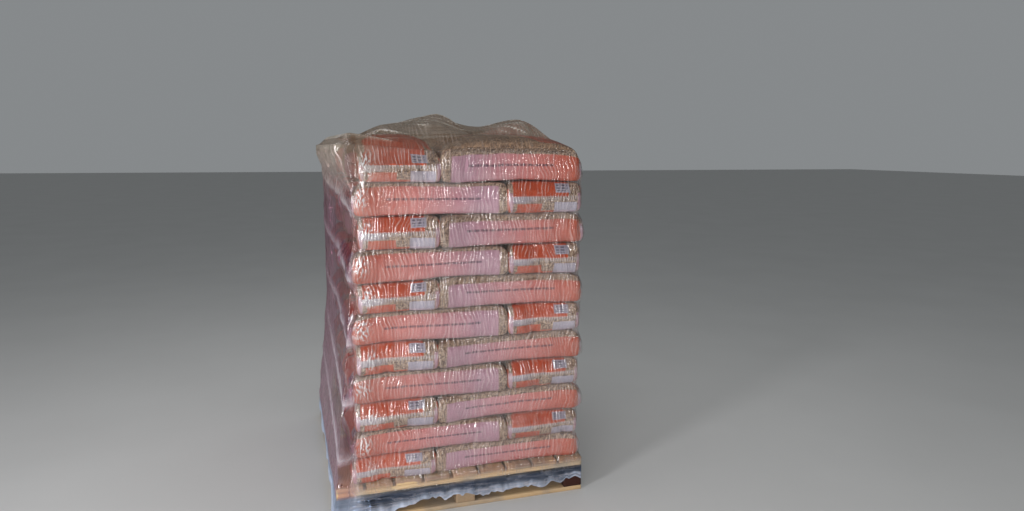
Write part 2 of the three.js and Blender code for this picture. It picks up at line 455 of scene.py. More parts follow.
SAG_IN = 0.016
SAG_DOWN = 0.022
SAG_OUT = 0.011
INNER_SAG = 0.4
SAG_END_ON = 0.3
SAG_ON_TOP = 1.7
LEFT_SPREAD = 0.034
RIGHT_SPREAD = 0.02
ROW_LEAN = 0.02
LAYER_CLEARANCE = 0.001
STACK_SEED = 7
TURN_SCATTER = 0.004
PLACE_SCATTER = 0.0015
SEAM_WANDER = 0.006
SEAM_WAVES = 4
SEAM_STEP = 1.7
SEAM_SEED = 31
CROWN = 0.044
CROWN_PROUD = 0.014
WELD_HEIGHT = 0.06
WELD_PROUD = 0.004
WELD_WIDTHS = (0.016, 0.006)
WELD_START, WELD_FADE = 0.86, 0.1
WELD_REACH, WELD_TAPER = 0.92, 0.2
GROOVE_BELOW, GROOVE_WIDTH = 0.014, 0.01
END_PULL = 0.0015
PLEAT_DEPTH = 0.0014
PLEAT_PITCH = 0.012
PLEAT_REACH = 0.03
PLEAT_SWAY = 2.5
PELLET_RADIUS = 0.0025
PELLET_HALF_LENGTH = 0.0045
PELLET_CELL = 0.0069
PELLET_SHIFT = (0.0035, 0.0029, 0.0046)
PELLET_DARK, PELLET_LIGHT = (0.27, 0.16, 0.1, 1), (0.52, 0.38, 0.265, 1)
# The gap colour is painted shade in the hollows between the pellets.
PELLET_DUST, PELLET_GAP_SHADE = (0.6, 0.5, 0.42, 1), (0.1, 0.055, 0.04, 1)
LILAC, CORAL, DEEP_ORANGE = (0.44, 0.25, 0.32, 1), (0.58, 0.2, 0.185, 1), (0.46, 0.08, 0.035, 1)
ORANGE, PALE, LABEL_GREY = (0.47, 0.068, 0.021, 1), (0.4, 0.38, 0.48, 1), (0.34, 0.33, 0.4, 1)
# The pleat colour is a painted highlight.
INK, PLEAT_HIGHLIGHT = (0.02, 0.015, 0.04, 1), (0.75, 0.73, 0.78, 1)
PRINT_WOBBLE = (0.02, 0.04, 0.09)
DASH_RATES, BAR_RATES = (62, 311), (34, 43)


def rounded_plan(xy, half, corner):
    """Points of a rectangle, which may be one for each point, moved so that its corners are round."""
    near = np.clip(xy, corner - half, half - corner)
    out = xy - near
    reach = np.abs(out).max(-1, keepdims=True)
    length = np.linalg.norm(out, axis=-1, keepdims=True)
    return near + out * np.where(length > 0, reach / np.maximum(length, 1e-9), 1)


def sack_shape(unit, half):
    """The unit cube's surface as a plump sack: flat on top and below, with sides that bulge between them."""
    angle = unit[:, 2] * math.pi / 2
    power = 2 / SACK_EDGE_POWER
    z = half[2] * np.sign(angle) * np.abs(np.sin(angle)) ** power
    inset = (1 - np.cos(angle).clip(0) ** power)[:, None] * (SACK_END_EDGE, SACK_SIDE_EDGE)
    corner = SACK_CORNER * (1 - 0.5 * np.abs(unit[:, 2:]))
    plan = rounded_plan(unit[:, :2] * (half[:2] - inset), half[:2] - inset, corner)
    return np.column_stack([plan, z])


def slack_sack(name, half, seed):
    """A sack a little smaller than its place, with Cloth that will swell it."""
    spans = (*half[:2], half[2] + SACK_SIDE_ARC)
    unit, quads = box_surface([np.linspace(-1, 1, round(2 * span / SACK_CELL) + 1) for span in spans])
    points = sack_shape(unit, half - SACK_SLACK)
    dents = np.stack([value_noise(points * DENT_WAVES, seed + i) for i in range(3)], -1)
    made = mesh_object(name, points + DENT_DEPTH * dents, quads)
    cloth = made.modifiers.new("cloth", "CLOTH")
    for key, value in SACK_CLOTH.items():
        setattr(cloth.settings, key, value)
    cloth.settings.effector_weights.gravity = 0
    cloth.point_cache.frame_end = SIM_FRAMES
    return made


def points_of(mesh):
    flat = np.empty(len(mesh.vertices) * 3, np.float32)
    mesh.vertices.foreach_get("co", flat)
    return flat.reshape(-1, 3).astype(float)


def move_points(mesh, points):
    mesh.vertices.foreach_set("co", points.astype(np.float32).ravel())


def faces_of(mesh, sides):
    """The point numbers of a mesh's faces, which all have this many sides."""
    flat = np.empty(len(mesh.loops), np.int32)
    mesh.loops.foreach_get("vertex_index", flat)
    return flat.reshape(-1, sides)


def pressed(points, start, half):
    """Keeps a swollen sack within reach of its start and flat where its neighbours press on it."""
    move = points - start
    length = np.linalg.norm(move, axis=1, keepdims=True)
    points = start + move * np.minimum(1, SACK_CAP / np.maximum(length, 1e-9))
    points[:, :2] *= half[:2] / np.percentile(np.abs(points[:, :2]), 99.9, axis=0)
    limit = half - PRESS_SOFTNESS
    beyond = np.maximum(np.abs(points) - limit, 0)
    reach = np.minimum(np.abs(points), limit) + PRESS_SOFTNESS * np.tanh(beyond / PRESS_SOFTNESS)
    return np.sign(points) * reach


def hump(value, width):
    """1 where value is 0, and a smooth fall to 0 on both sides, over about this width."""
    return np.exp(-((value / width) ** 2))


def welded_ends(points, half, seed):
    """Adds the weld across each end, proud along the middle, and the pleats that it gathers."""
    u, v, w = (points / half).T
    end = np.clip((np.abs(u) - WELD_START) / WELD_FADE, 0, 1)
    inner = np.clip((WELD_REACH - np.abs(v)) / WELD_TAPER, 0, 1)
    above = (w - WELD_HEIGHT) * half[2]
    ridge = hump(above, np.where(above > 0, *WELD_WIDTHS))
    groove = hump(above + GROOVE_BELOW, GROOVE_WIDTH)
    sway = value_noise(np.column_stack([v * 4, u, w]), seed)
    phase = points[:, 1] * math.pi / PLEAT_PITCH + PLEAT_SWAY * sway
    pleat = np.sin(phase) * hump(above, PLEAT_REACH) * (0.6 + 0.4 * sway)
    out = inner * (WELD_PROUD * (ridge - 0.8 * groove) + PLEAT_DEPTH * pleat) - END_PULL
    points = points.copy()
    points[:, 0] += np.sign(u) * end * out
    return points


def finished_sack(slack, start, half, seed):
    """The simulated sack pressed, smoothed, welded and thinned where it is flat, as points and triangles."""
    graph = bpy.context.evaluated_depsgraph_get()
    swollen = points_of(slack.evaluated_get(graph).data)
    slack.modifiers.clear()
    move_points(slack.data, pressed(swollen, start, half))
    finer = slack.modifiers.new("finer", "SUBSURF")
    finer.levels = finer.render_levels = 1
    smooth = evaluated_copy(slack, slack.name + "_smooth")
    move_points(smooth.data, welded_ends(points_of(smooth.data), half, seed))
    smooth.modifiers.new("triangles", "TRIANGULATE")
    thinner = smooth.modifiers.new("thinner", "DECIMATE")
    thinner.ratio = SACK_TRIANGLES / (2 * len(smooth.data.polygons))
    thin = evaluated_copy(smooth, "thin_sack")
    points, triangles = points_of(thin.data), faces_of(thin.data, 3)
    bpy.data.objects.remove(thin)
    return points, triangles


def pellet_group():
    """Wood pellets, 5 mm thick and lying anyhow, at a place in metres: their colour and height."""
    outputs = {"Color": "Color", "Height": "Float"}
    tree, given = new_group("wood_pellets", "ShaderNodeTree", {"Place": "Vector"}, outputs)
    layers = []
    for shift in ((0, 0, 0), PELLET_SHIFT):
        place = given["Place"] + shift
        cells = node(tree, "ShaderNodeTexVoronoi", {"Vector": place, "Scale": 1 / PELLET_CELL})
        away = place - cells["Position"]
        lay = maths("NORMALIZE", cells["Color"] - (0.5, 0.5, 0.5))
        along = maths("DOT_PRODUCT", away, lay)
        across = maths("DOT_PRODUCT", away, away) - along * along
        past = maths("MAXIMUM", maths("ABSOLUTE", along) - PELLET_HALF_LENGTH, 0)
        left = maths("MAXIMUM", PELLET_RADIUS * PELLET_RADIUS - (across + past * past), 0)
        height = maths("DIVIDE", maths("SQRT", left), PELLET_RADIUS)
        layers.append((height, node(tree, "ShaderNodeSeparateColor", {0: cells["Color"]})["Green"]))
    (high, high_tone), (low, low_tone) = layers
    low = low * 0.8
    height = maths("MAXIMUM", high, low)
    tone = blend(maths("GREATER_THAN", high, low), low_tone, high_tone)
    wood = blend_colour(rise(tone, 0.1, 0.9), PELLET_DARK, PELLET_LIGHT)
    wood = blend_colour(noise(given["Place"], 300, 3) * 0.3, wood, PELLET_DUST)
    # Painted shade darkens the gaps between the pellets, where their height falls.
    colour = blend_colour(rise(height, 0.05, 0.75), PELLET_GAP_SHADE, wood)
    node(tree, "NodeGroupOutput", {"Color": colour, "Height": height})
    return tree


def edged(mask, *edges):
    """mask, only where each (value, start, end) has risen."""
    for edge in edges:
        mask = mask * rise(*edge)
    return mask


def sack_print(colour, on_end, u, v, w):
    """Prints the film: colour with the panels, bands, patches and plain bars laid over it."""
    side = maths("ABSOLUTE", v)
    on_side = 1 - on_end

    # The long sides, whose panel leaves a clear strip at its top, the top and the underside.
    strip = rise(v, -0.1, 0.1) * 0.2 + 0.56
    panel = edged(on_side, (side, 0.78, 0.84), (w - strip, 0.03, -0.03), (u, -0.86, -0.83))
    fade = node(colour.tree, "ShaderNodeValToRGB", {0: u * 0.5 + 0.5})["Color"]
    stops = fade.socket.node.color_ramp.elements
    stops[0].position, stops[0].color = 0.2, LILAC
    stops[1].position, stops[1].color = 0.93, DEEP_ORANGE
    stops.new(0.62).color = CORAL
    border = u - (v * v * 0.5 + 0.08)
    top_patch = edged(on_side, (w, 0.8, 0.9), (side, 0.8, 0.74), (border, 0.0, 0.03))
    under = edged(rise(u, 0.1, 0.13), (w, -0.8, -0.9), (side, 0.82, 0.76))

    # The end that faces outwards.
    pale_band = edged(on_end, (w, 0.08, 0.03), (w, -0.4, -0.3), (v, -0.1, -0.6))
    corner = edged(on_end, (side, 0.82, 0.88), (w, 0.35, 0.25))
    end_band = edged(on_end, (w, 0.03, 0.08), (v, -0.86, -0.83), (v, 0.62, 0.59))
    end_patch = edged(on_end, (w, -0.38, -0.43), (v, -0.76, -0.73), (v, -0.08, -0.11))
    pale_patch = edged(on_end, (w, -0.28, -0.33), (v, 0.22, 0.25), (v, 0.84, 0.81))
    label = edged(on_end, (v, 0.26, 0.28), (v, 0.66, 0.64), (w, 0.3, 0.33), (w, 0.93, 0.9))

    # Plain dashes stand where the side's line of words would be, and plain bars where the label's would.
    dash, fine_dash = (maths("SINE", u * rate) for rate in DASH_RATES)
    line = edged(panel, (maths("ABSOLUTE", w), 0.085, 0.06), (u, -0.62, -0.6), (u, 0.56, 0.54))
    dashes = edged(line, (dash, -0.95, -0.8), (fine_dash, -0.9, -0.2))
    text = edged(label, (v, 0.3, 0.31), (v, 0.6, 0.58), (w, 0.4, 0.42))
    bar_row, bar_end = maths("SINE", w * BAR_RATES[0]), maths("SINE", v * BAR_RATES[1])
    bars = edged(text, (bar_row, -0.2, 0.2), (bar_end, -0.7, -0.4))
    for mask, cover, ink in (
        (panel, 0.92, fade),
        (top_patch, 0.93, ORANGE),
        (under, 0.9, ORANGE),
        (pale_band, 0.6, PALE),
        (corner, 0.8, LILAC),
        (end_band, 0.95, ORANGE),
        (end_patch, 0.9, ORANGE),
        (pale_patch, 0.8, PALE),
        (label, 0.95, LABEL_GREY),
        (dashes, 0.9, INK),
        (bars, 0.75, INK),
    ):
        colour = blend_colour(mask * cover, colour, ink)
    return colour


def sack_material():
    """Clear film over pellets, printed with a fading panel on each side and with plain bars on one end."""
    material, tree = new_material("printed_sack_film")
    tone = point_value(tree, "sack_tone")
    place = node(tree, "ShaderNodeTexCoord")["Object"] + tone
    pellets = node(tree, "ShaderNodeGroup", {"Place": place}, node_tree=pellet_group())
    wobble = (noise(place, 22, output="Color") - (0.5, 0.5, 0.5)) * PRINT_WOBBLE
    u, v, w = parts(point_value(tree, "sack_place", "Vector") + wobble)

    # The long sides end and the ends begin at the upright corners.
    to_side = (1 - maths("ABSOLUTE", v)) * (SACK_WIDTH_SIDE_ON / 2)
    to_end = (1 - u) * (SACK_LENGTH / 2)
    on_end = rise(to_side - to_end, -0.002, 0.004)
    colour = sack_print(pellets["Color"], on_end, u, v, w)
    colour = blend_colour(1.0, colour, tone * 0.14 + 0.93, "MULTIPLY")

    # Pleats gather the film at the weld across each end, and a painted highlight whitens them there.
    weld = edged(on_end, (w, 0.14, 0.06), (w, -0.3, -0.05))
    phase = v * (SACK_WIDTH_SIDE_ON * math.pi / PLEAT_PITCH) + noise(place, 30, 1)
    pleats = weld * (maths("SINE", phase) * 0.5 + 0.5)
    colour = blend_colour(pleats * 0.5, colour, PLEAT_HIGHLIGHT)
    height = pellets["Height"] * 0.5 + noise(place, 34, 3, (1, 1, 2.4)) + pleats * 1.2
    normal = relief(height, 0.0022, 0.55)
    principled_surface(tree, {"Base Color": colour, "Normal": normal, "Roughness": 0.34})
    return material


def sack_looks():
    """A few simulated sacks of each width, each as its half size, points and triangles."""
    slack = []
    for kind, width in enumerate((SACK_WIDTH_END_ON, SACK_WIDTH_SIDE_ON)):
        half = np.array([SACK_LENGTH, width, SACK_LEAD_HEIGHT]) / 2 - (SACK_CLEARANCE, SACK_CLEARANCE, 0)
        for look in range(SACK_LOOKS):
            seed = SACK_SEED + 10 * kind + look
            made = slack_sack(f"slack_sack_{seed}", half, seed)
            slack.append((made, points_of(made.data), half, seed))
    for number in range(1, SIM_FRAMES + 1):
        bpy.context.scene.frame_set(number)
    looks = [(half, *finished_sack(made, start, half, seed)) for made, start, half, seed in slack]
    bpy.context.scene.frame_set(1)
    return looks[:SACK_LOOKS], looks[SACK_LOOKS:]


def layer_places(pair_left):
    """A layer's five sacks: is it end-on, its middle in plan, and the way that its front end faces."""
    width = SACK_LENGTH + SACK_WIDTH_END_ON
    depth = 2 * SACK_LENGTH
    side = -1 if pair_left else 1
    pair_x = side * (width - SACK_WIDTH_END_ON) / 2
    pair_y = (depth - SACK_LENGTH) / 2
    row_x = -side * (width - SACK_LENGTH) / 2
    row_y = (depth - SACK_WIDTH_SIDE_ON) / 2
    pairs = [(True, (pair_x, y), math.copysign(math.pi / 2, y)) for y in (-pair_y, pair_y)]
    rows = [(False, (row_x, y), 0 if pair_left else math.pi) for y in (-row_y, 0, row_y)]
    return pairs + rows


def sagged(local, own, amount):
    """Pellets settle, so that the top of a sack's ends slopes away, most at the end that faces outwards."""
    ends = np.where(own[:, 0] > 0, 1, INNER_SAG) * np.abs(own[:, 0]).clip(0, 1) ** (8 / max(amount, 1))
    upper = own[:, 2].clip(0, 1) * amount * ends
    lower = (-own[:, 2]).clip(0, 1) * ends
    outward = np.sign(own[:, 0]) * (SAG_OUT * lower - SAG_IN * upper)
    return local + np.column_stack([outward, 0 * upper, -SAG_DOWN * upper])


def wandered(points, number, low, height):
    """The seams above and below a layer wander up and down, the same for the layers that meet there."""
    share = ((points[:, 2] - low) / height).clip(0, 1)
    points = points.copy()
    for seam, weight in ((number, 1 - share), (number + 1, share)):
        if 0 < seam < len(layer_names):
            plan = np.column_stack([points[:, :2] * SEAM_WAVES, np.full(len(points), SEAM_STEP * seam)])
            points[:, 2] += SEAM_WANDER * weight * value_noise(plan, SEAM_SEED)
    return points


def spread(points, number, low, high, centre):
    """Rounds a layer's corners in plan and lets its ends bulge, the left one most near the front."""
    in_plan = points[:, :2] - centre
    points[:, :2] = centre + rounded_plan(in_plan, np.abs(in_plan).max(0), STACK_CORNER)
    share_up = number / (len(layer_names) - 1)
    rightness = (points[:, 0] - centre[0]) / np.abs(in_plan[:, 0]).max()
    nearness = 1 - 0.7 * ((points[:, 1] - low[1]) / (high[1] - low[1])).clip(0, 1)

    # One kind of layer bulges left almost up to the top, and the other left and right, less further up.
    left_spread = 1 - (share_up / 0.96) ** 5 if number % 2 else (1 - share_up) ** 1.5
    right_spread = 0 if number % 2 else 1 - min(share_up / 0.85, 1) ** 4
    points[:, 0] += LEFT_SPREAD * rightness.clip(-1, 0) * nearness * left_spread
    points[:, 0] += RIGHT_SPREAD * rightness.clip(0, 1) * right_spread
    return points


def packed_layer(number, low, high, draw):
    """The five sacks of a layer in its CAD box, as points, triangles and the attributes of the points."""
    top_layer = number == len(layer_names) - 1
    height = high[2] - low[2] - (CROWN if top_layer else 0)
    crown = CROWN + CROWN_PROUD if top_layer else 0
    middle = np.array([*(low + high)[:2] / 2, low[2] + height / 2])
    squeeze = (high - low - LAYER_CLEARANCE)[:2] / (SACK_LENGTH + SACK_WIDTH_END_ON, 2 * SACK_LENGTH)
    share_up = number / (len(layer_names) - 1)

    # Every other layer is shifted right. Those between are shifted a little left low down, and right above.
    lean = ROW_LEAN if number % 2 else ROW_LEAN * (0.7 * share_up - 0.2)
    points, faces, places, tones = [], [], [], []

    # Each sack is one of the looks, turned end for end or upside down, and lies a little out of its place.
    for end_on, spot, angle in layer_places(number % 2 == 0):
        looks = end_on_looks if end_on else side_on_looks
        half, shape, triangles = looks[draw.integers(len(looks))]
        turn = draw.choice([-1, 1], 2)
        shape = shape * (turn[0], turn[0] * turn[1], turn[1])
        own = shape / half
        stretch = (1, END_ON_STRETCH) if end_on else (1 if top_layer else SIDE_ON_STRETCH, 1)
        local = shape * (*stretch, height / SACK_LEAD_HEIGHT)
        dome = np.prod(1 - np.abs(own[:, :2].clip(-1, 1)) ** 3, axis=1)
        local[:, 2] += crown * np.clip(own[:, 2], 0, 1) * dome
        end_sag = SAG_ON_TOP if top_layer else SAG_END_ON
        local = sagged(local, own, end_sag if end_on else 1)
        angle += draw.normal(0, TURN_SCATTER)
        cosine, sine = math.cos(angle), math.sin(angle)
        across = np.array([[cosine, sine, 0], [-sine, cosine, 0], [0, 0, 1]])
        shift = np.array([*(np.array(spot) * squeeze), 0]) + [*draw.normal(0, PLACE_SCATTER, 2), 0]
        setback = END_ON_SETBACK * (1 + share_up * (spot[0] < 0))
        shift[0] += lean + math.copysign(1, spot[0]) * (-setback if end_on else SIDE_ON_PROUD)
        faces.append(triangles + sum(len(p) for p in points))
        points.append(local @ across + middle + shift)
        places.append(own)
        tones.append(np.full(len(own), draw.random()))
    points = spread(np.concatenate(points), number, low, high, middle[:2] + (lean, 0))
    attributes = {"sack_place": np.concatenate(places), "sack_tone": np.concatenate(tones)}
    return wandered(points, number, low[2], height), np.concatenate(faces), attributes


end_on_looks, side_on_looks = sack_looks()
sack_film = sack_material()
layer_names = nodes_named("sack_layer")
loaded = []
draw = np.random.default_rng(STACK_SEED)
for number, name in enumerate(layer_names):
    low, high = (np.array(corner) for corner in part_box(name))
    points, faces, attributes = packed_layer(number, low, high, draw)
    layer = mesh_object(name.replace("sack_layer", "pellet_sacks"), points, faces, sack_film, attributes)
    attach(layer, "root")
    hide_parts(name)
    loaded.append((points, faces))


# Stretch hood: one clear polyethylene bag, stretched down over the load and the pallet's edge. It clings to
# the sacks, stands up loosely on top and off the left side, and ends in a torn, wavy hem over the pallet.
HOOD_ACROSS = 140
HOOD_ALONG = 180
WALL_ROWS = 94
SKIRT_ROWS = 14
HOOD_CORNER = 0.06
HOOD_GAP = 0.0012
RIM_DROP = 0.012
RAY_START = 0.2
ROOF_LIFT = 0.066
ROOF_REACH = 0.2
LEFT_PUFF = 0.045
PUFF_EDGE = 0.05
ROOF_ROUNDS = 900

# A peak on top is its place, height and reach, a crease its waves a metre, height and seed, and a fold its
# two ends, height and width.
ROOF_PEAKS = (((-0.04, -0.24), 0.064, 0.19), ((0.3, -0.33), 0.056, 0.16), ((0.1, -0.33), -0.05, 0.1))
ROOF_CREASES = ((5, 0.018, 11), (11, 0.008, 12), (26, 0.003, 13))
STANDING_FOLDS = (
    ((-0.14, -0.08), (0.11, -0.4), 0.022, 0.032),
    ((-0.36, -0.4), (-0.16, -0.47), 0.01, 0.018),
    ((0.16, -0.2), (0.42, -0.34), 0.012, 0.025),
)

# The sides, the skirt and its torn hem, whose tears are each a depth and waves a metre.
FOOT_LEAN = 0.11
PULLED_IN = 0.06
PUFF_DEPTH = 0.22
DEEPEST = 0.07
FILM_PULL = (1, 0.3)
CLOSE_ROUNDS, TAUT_ROUNDS = 6, 90
CLING = 0.6
BAND_RISE = 0.125
BAND_DEPTH = 0.006
BAND_WIDTHS = (0.032, 0.009)
FOLD_DEPTH = 0.0022
FINER_DEPTH = 0.0012
FOLD_LIFT = 0.0016
DRAPE_DEPTH = 0.006
SKIRT_TOP = 0.112
HEM_HEIGHT = 0.052
HEM_DROP = 0.042
HEM_TEARS = ((0.015, 8), (0.011, 31), (0.006, 83))
HEM_FLARE, LEAST_FLARE, HEM_WAVE = 0.004, 0.0005, 0.007
CORNER_FLARE, CORNER_SPAN = 0.02, (0.16, 0.2)
WRINKLE_PITCH = 0.0135

# What shows through the film is tinted, and where the film is milky it has the colour of its cloud.
WALL_TINT, WALL_CLOUD = (0.97, 0.97, 0.97), (0.78, 0.75, 0.73)
# The left side's tint and cloud are painted shade, a dark mauve as where the side lies in shadow.
SIDE_SHADE_TINT, SIDE_SHADE_CLOUD = (0.76, 0.5, 0.6), (0.36, 0.13, 0.23)
# The corner tint is painted light on the side near the front left corner, and the foot tint painted shade low
# on the left.
CORNER_LIGHT_TINT, FOOT_SHADE_TINT = (1, 0.9, 0.84), (0.5, 0.34, 0.42)
# The bands' cloud is a painted highlight, paler where light catches the taut folds.
BAND_HIGHLIGHT_CLOUD = (0.62, 0.56, 0.62)
TOP_TINT, TOP_CLOUD = (0.88, 0.79, 0.71), (0.68, 0.61, 0.5)
DECK_TINT, DECK_EDGE = (0.68, 0.56, 0.55), 0.137
# The skirt's dark navy tint is painted shade of the fork pockets behind it, and its light-blue cloud a
# painted sheen.
SKIRT_SHADE_TINT, SKIRT_SHEEN_CLOUD = (0.16, 0.22, 0.37), (0.66, 0.75, 0.92)
HEM_TINT = (0.7, 0.75, 0.85)
# Painted highlights: the colour of the wrinkles' crests and of the glints.
CREST_HIGHLIGHT, GLINT_COLOUR = (0.87, 0.7, 0.66, 1), (0.95, 0.94, 0.96, 1)
SKIRT_SHEEN = (0.5, 0.66, 1, 1)
WALL_HAZE, ROOF_HAZE, ROOF_CREASED = 0.015, 0.08, 0.5
MOST_MIRROR, MOST_MILK = 0.36, 0.95
# Where painted glints lie: their reach from the left edge, their width, and how close the film must be.
CORNER_REACH, CORNER_WIDTH, GLINT_GAP = 0.057, 0.027, 0.009

# The film as it was cut, and the load that it goes over.
stack_low = np.min([points.min(0) for points, _ in loaded], axis=0)
stack_high = np.max([points.max(0) for points, _ in loaded], axis=0)
stack_middle = (stack_low + stack_high) / 2
stack_half = (stack_high - stack_low) / 2
shoulder = stack_high[2] - CROWN - CROWN_PROUD


def smooth_step(value, low, high):
    share = np.clip((value - low) / (high - low), 0, 1)
    return share * share * (3 - 2 * share)


def load_surface():
    """A search tree of the sacks and boards that the hood lies on."""
    points = [points for points, _ in loaded]
    faces = [faces for _, faces in loaded]
    for name in board_names:
        mesh = bpy.data.objects[f"{name}_wood"].data
        quads = faces_of(mesh, 4)
        points.append(points_of(mesh))
        faces.append(np.concatenate([quads[:, [0, 1, 2]], quads[:, [0, 2, 3]]]))
    starts = np.cumsum([0] + [len(p) for p in points[:-1]])
    faces = np.concatenate([f + start for f, start in zip(faces, starts)])
    return BVHTree.FromPolygons(np.concatenate(points).tolist(), faces.tolist(), all_triangles=True)


def reach_of(tree, origins, direction, limit):
    """How far each ray goes from its origin before it meets the load, or limit."""
    found = np.full(len(origins), limit)
    for number, (origin, way) in enumerate(zip(origins.tolist(), direction.tolist())):
        hit = tree.ray_cast(Vector(origin), Vector(way), limit)
        if hit[3] is not None:
            found[number] = hit[3]
    return found


def relaxed(shape, least, along, up, rounds):
    """Film pulled tight: each point moves to its neighbours' mean, but never into the load."""
    for _ in range(rounds):
        mean = along * (np.roll(shape, 1, 0) + np.roll(shape, -1, 0))
        mean[:, 1:-1] += up * (shape[:, :-2] + shape[:, 2:])
        mean[:, 1:-1] /= 2 * (along + up)
        mean[:, [0, -1]] = shape[:, [0, -1]]
        shape = np.maximum(mean, least)
    return shape


def noise_at(x, y, seed):
    """value_noise over a plane, of two arrays that fit each other."""
    x, y = np.broadcast_arrays(x, y)
    return value_noise(np.stack([x, y, np.zeros_like(x)], -1), seed)


def film_folds(around, z, out):
    """Fine standing wrinkles of the stretched film, in metres, stronger at the corners."""
    corner = 1 - np.abs(np.abs(out[:, :1]) - np.abs(out[:, 1:2]))
    leaning = around + 0.02 * noise_at(around * 7, z * 7, 3)
    fine = FOLD_DEPTH * (1 - 2 * np.abs(noise_at(leaning * 58, z * 11, 4)))
    finer = FINER_DEPTH * noise_at(leaning * 110, z * 17, 5)
    broad = FINER_DEPTH * noise_at((around - 0.4 * z) * 16, z * 5, 6)
    return (fine + finer + broad) * (1 + 1.2 * corner)


def left_bands(y, z):
    """Taut folds on the left side, 1 at their crest, each down to the front corner of a side-on sack."""
    back = np.clip((y - stack_low[1]) / (stack_high[1] - stack_low[1]), 0, 1)
    total = 0
    for name in layer_names[1::2]:
        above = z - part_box(name)[0].z - BAND_RISE * back**0.8
        total = total + hump(above, np.where(above > 0, *BAND_WIDTHS)) * (1 - 0.65 * back)
    return total


def roof_lift(x, y):
    """How high the loose top stands off the load, in the plan from the load's middle."""
    inside = np.minimum(stack_half[0] - np.abs(x), stack_half[1] - np.abs(y))
    share = smooth_step(inside, 0, ROOF_REACH)
    left = smooth_step(-x, 0, stack_half[0])
    lift = np.maximum(ROOF_LIFT * share, LEFT_PUFF * left)
    lift = lift - LEFT_PUFF * left * (1 - smooth_step(inside, 0, PUFF_EDGE))
    at = np.stack([x + stack_middle[0], y + stack_middle[1]], -1)
    for peak, height, reach in ROOF_PEAKS:
        lift = lift + height * share * hump(np.linalg.norm(at - peak, axis=-1), reach)
    for start, end, height, width in STANDING_FOLDS:
        length = math.dist(start, end)
        way = np.subtract(end, start) / length
        along = (at - start) @ way / length
        across = np.abs((at - start) @ (way[1], -way[0])) / width
        lift = lift + height * np.clip(1 - across, 0, 1) * np.clip(4 * along * (1 - along), 0, 1)
    for size, height, seed in ROOF_CREASES:
        wind = 0.05 * noise_at(x * 5, y * 5, seed + 5)
        crest = noise_at((y + 0.5 * x + wind) * size, (x - 0.5 * y) * size * 0.25, seed)
        lift = lift + height * (0.45 - np.abs(crest)) * share
    return lift


def row_at(z):
    """The number of the row of sacks at each height, with how far up the row it is as the fraction."""
    seams = [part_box(name)[0].z for name in layer_names] + [shoulder]
    return np.interp(z, seams, range(len(seams)))


def film_material():
    """Clear film: it mirrors at its wrinkles, and painted highlights whiten their crests and glint spots,
    most at a corner.
    """
    material, tree = new_material("clear_hood_film")
    place, tint, cloud = (point_value(tree, f"film_{key}", "Vector") for key in ("place", "tint", "cloud"))
    haze, skirt = point_value(tree, "film_haze"), point_value(tree, "film_skirt")
    creased, glint_spots = point_value(tree, "film_creased"), point_value(tree, "film_glint_spots")
    bent = place
    for scale, reach in ((5, 0.05), (11, 0.03), (21, 0.014)):
        bent = bent + noise(place, scale, 0, output="Color") * (reach, reach / 4, 0)

    # Fine, even wrinkles stand upright, in patches; a few broader ones cross them, and the skirt's lie level.
    sideways = parts(bent)[0]
    drift = noise(place, 14, 1, (1, 0.4, 1)) * 12
    comb = maths("SINE", sideways * (2 * math.pi / WRINKLE_PITCH) + drift)
    broad_waves = noise(bent, 30, 1, (1, 0.25, 1))
    level_waves = noise(bent, 60, 2, (0.12, 1, 1))
    patch = rise(noise(bent, 27, 1, (1, 0.7, 1)), 0.36, 0.6)
    level_crest = rise(maths("ABSOLUTE", level_waves - 0.5), 0.05, 0.0)
    broad_crest = rise(maths("ABSOLUTE", broad_waves - 0.5), 0.02, 0.0)
    crest = blend(skirt, rise(comb, 0.42, 1.0) * patch, level_crest)
    crests = maths("MAXIMUM", crest, broad_crest * 0.45) * creased
    # Ragged painted glints, where the mesh marks them.
    glint = rise(noise(bent, 170, 3, (1, 0.35, 1)), 0.47, 0.57) * glint_spots
    waves = blend(skirt, comb * 0.1, level_waves)
    normal = relief((waves + broad_waves) * creased + crests * 0.06 + glint * 0.12, 0.007, 1.0)

    # How much mirrors, and how much is milky: its haze, more so edge-on, and the painted highlights of its
    # crests and glints.
    fresnel = node(tree, "ShaderNodeFresnel", {"IOR": 1.45, "Normal": normal})[0]
    mirror = maths("MINIMUM", fresnel * (glint * 6 + 3), MOST_MIRROR)
    streaks = rise(noise(bent, 38, 4, (1, 0.2, 1)), 0.35, 0.75)
    edge_on = node(tree, "ShaderNodeLayerWeight", {"Blend": 0.5, "Normal": normal})["Facing"]
    milk = haze * (streaks * 0.6 + 0.7) * (maths("POWER", edge_on, 3) * 2.5 + 1)
    milk = maths("MINIMUM", milk + crests * 0.28 + glint * 0.75, MOST_MILK)
    clear = node(tree, "ShaderNodeBsdfTransparent", {"Color": tint})[0]
    # The crests and glints take the colours of painted highlights.
    colour = blend_colour(glint, blend_colour(crests, cloud, CREST_HIGHLIGHT), GLINT_COLOUR)
    inputs = {"Base Color": colour, "Roughness": 0.45, "Normal": normal}
    cloudy = node(tree, "ShaderNodeBsdfPrincipled", inputs)[0]
    sheen = blend_colour(skirt, (1, 1, 1, 1), SKIRT_SHEEN)
    gloss = node(tree, "ShaderNodeBsdfAnisotropic", {"Color": sheen, "Roughness": 0.1, "Normal": normal})[0]
    body = node(tree, "ShaderNodeMixShader", {0: milk, 1: clear, 2: cloudy})[0]
    film = node(tree, "ShaderNodeMixShader", {0: mirror, 1: body, 2: gloss})[0]
    node(tree, "ShaderNodeOutputMaterial", {"Surface": film})
    return material


